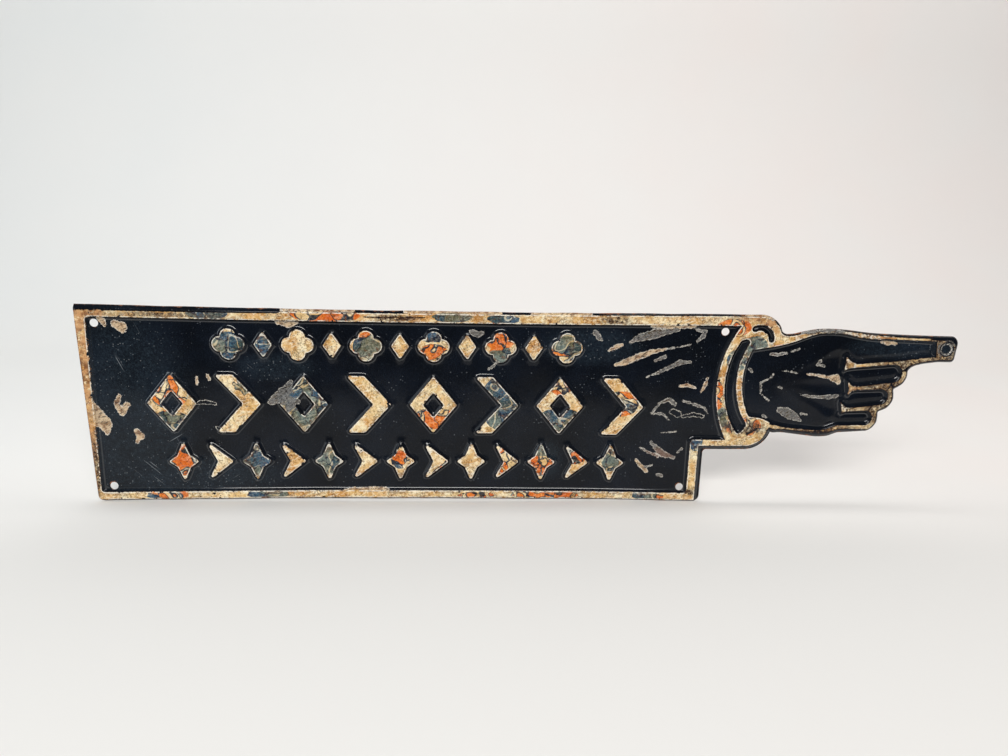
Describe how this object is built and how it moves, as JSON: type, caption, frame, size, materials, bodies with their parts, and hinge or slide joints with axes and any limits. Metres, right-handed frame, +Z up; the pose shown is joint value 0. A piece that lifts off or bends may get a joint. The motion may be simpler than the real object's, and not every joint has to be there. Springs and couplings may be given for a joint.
{
  "type": "directional sign",
  "caption": "Long pressed tinplate sign with a raised border and rows of raised ornament, ending in a cuffed hand whose finger points right.",
  "frame": {"origin": "on the flat back face, midway along the rectangular panel, in the plain strip between the first and second rows of ornament", "axes": "+X the way the finger points, +Y out of the back towards the wall, +Z up"},
  "size_m": [0.7082, 0.0027, 0.1602],
  "materials": {
    "painted_tinplate": "old gloss black paint over printed tinplate, worn through on the raised relief and chipped; bare aged tin behind"
  },
  "bodies": {
    "root": {"sign_sheet": "painted_tinplate"}
  },
  "joints": []
}
